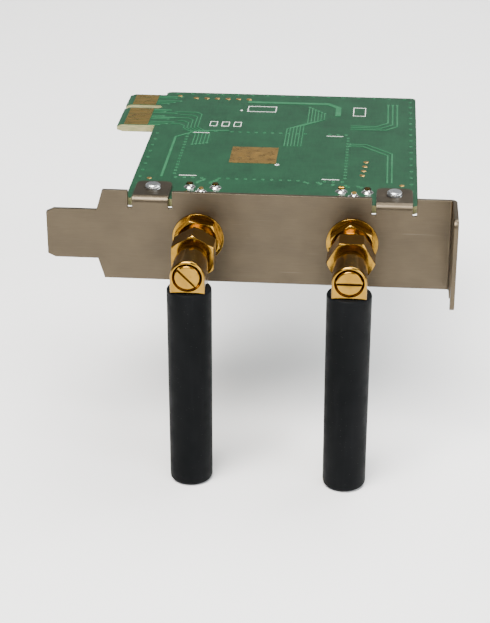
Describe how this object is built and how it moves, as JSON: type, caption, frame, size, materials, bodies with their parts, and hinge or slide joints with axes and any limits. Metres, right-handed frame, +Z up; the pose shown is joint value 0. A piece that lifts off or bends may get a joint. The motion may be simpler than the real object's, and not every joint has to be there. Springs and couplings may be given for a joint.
{
  "type": "wi-fi expansion card",
  "caption": "Low-profile Wi-Fi expansion card: slot bracket, circuit board with edge connector, gold coaxial jacks and right-angle swivelling stub antennas.",
  "frame": {"origin": "on the face of the bracket's tab that sits on the computer's ledge, in line with the screw notch, on the bracket's centre line", "axes": "+X along the bracket towards the tab, +Y into the computer along the board, +Z up across the bracket; the antennas hang down (-Z) at rest"},
  "size_m": [0.0792, 0.0886, 0.053],
  "materials": {
    "bracket_plate": "warm satin, like brushed nickel",
    "screw_steel": "bright zinc",
    "board_laminate": "green solder mask over glass-fibre laminate",
    "contact_gold": "gold plated",
    "shield_tin": "tin plated, satin",
    "chip_plastic": "moulded epoxy",
    "pad_silicone": "soft, matt",
    "crystal_can": "satin",
    "lead_tin": "bright tin",
    "ferrite": "matt",
    "tantalum_resin": "moulded resin",
    "capacitor_ceramic": "satin",
    "resistor_ceramic": "glazed",
    "light_resin": "clear resin",
    "solder": "bright",
    "plated_gold": "bright gold plating",
    "ptfe": "waxy white",
    "ring_bronze": "spring bronze",
    "seal_silicone": "soft",
    "ferrule_metal": "nickel plated",
    "cable_dielectric": "translucent white",
    "radiator_brass": "bare brass",
    "wire_copper": "bare copper",
    "sleeve_black": "matt black"
  },
  "bodies": {
    "card": {"bracket": "bracket_plate", "card_screws": "screw_steel", "board": "board_laminate", "edge_contacts": "contact_gold", "shield_fence": "shield_tin", "shield_lid": "shield_tin", "wifi_chip": "chip_plastic", "thermal_pad": "pad_silicone", "front_end_chips": "chip_plastic", "crystal": "crystal_can", "memory_chip": "chip_plastic", "regulator": "chip_plastic", "chip_leads": "lead_tin", "inductors": "ferrite", "tantalum_capacitors": "tantalum_resin", "ceramic_capacitors": "capacitor_ceramic", "resistors": "resistor_ceramic", "small_terminals": "lead_tin", "status_light": "light_resin", "solder_joints": "solder", "lock_washers": "plated_gold", "jack_nuts": "plated_gold", "jack_body_left": "plated_gold", "jack_insulator_left": "ptfe", "jack_pin_left": "contact_gold", "jack_body_right": "plated_gold", "jack_insulator_right": "ptfe", "jack_pin_right": "contact_gold"},
    "carrier_left": {"snap_ring_left": "ring_bronze", "gasket_left": "seal_silicone"},
    "nut_left": {"coupling_nut_left": "plated_gold"},
    "antenna_left": {"elbow_body_left": "plated_gold", "elbow_cap_left": "plated_gold", "elbow_insulator_left": "ptfe", "elbow_contact_left": "contact_gold", "crimp_ferrule_left": "ferrule_metal", "feed_cable_left": "cable_dielectric", "radiator_tube_left": "radiator_brass", "whip_left": "wire_copper", "sleeve_left": "sleeve_black"},
    "carrier_right": {"snap_ring_right": "ring_bronze", "gasket_right": "seal_silicone"},
    "nut_right": {"coupling_nut_right": "plated_gold"},
    "antenna_right": {"elbow_body_right": "plated_gold", "elbow_cap_right": "plated_gold", "elbow_insulator_right": "ptfe", "elbow_contact_right": "contact_gold", "crimp_ferrule_right": "ferrule_metal", "feed_cable_right": "cable_dielectric", "radiator_tube_right": "radiator_brass", "whip_right": "wire_copper", "sleeve_right": "sleeve_black"}
  },
  "joints": [
    {"name": "left_antenna_travel", "type": "slide", "parent": "card", "child": "carrier_left", "axis": [0, -1, 0], "range_m": [0, 0.00282]},
    {"name": "left_nut_turn", "type": "hinge", "parent": "carrier_left", "child": "nut_left", "pos_m": [-0.04864, -0.0016, 0], "axis": [0, -1, 0], "range_deg": [0, 1441]},
    {"name": "left_antenna_swivel", "type": "hinge", "parent": "carrier_left", "child": "antenna_left", "pos_m": [-0.04864, -0.00985, 0], "axis": [0, 1, 0], "range_deg": [-12, 192]},
    {"name": "right_antenna_travel", "type": "slide", "parent": "card", "child": "carrier_right", "axis": [0, -1, 0], "range_m": [0, 0.00282]},
    {"name": "right_nut_turn", "type": "hinge", "parent": "carrier_right", "child": "nut_right", "pos_m": [-0.01884, -0.0016, 0], "axis": [0, -1, 0], "range_deg": [0, 1441]},
    {"name": "right_antenna_swivel", "type": "hinge", "parent": "carrier_right", "child": "antenna_right", "pos_m": [-0.01884, -0.00985, 0], "axis": [0, -1, 0], "range_deg": [-12, 192]}
  ],
  "couplings": [
    {"joint": "left_nut_turn", "follows": "left_antenna_travel", "rad_per_m": 8904.7},
    {"joint": "right_nut_turn", "follows": "right_antenna_travel", "rad_per_m": 8904.7}
  ]
}
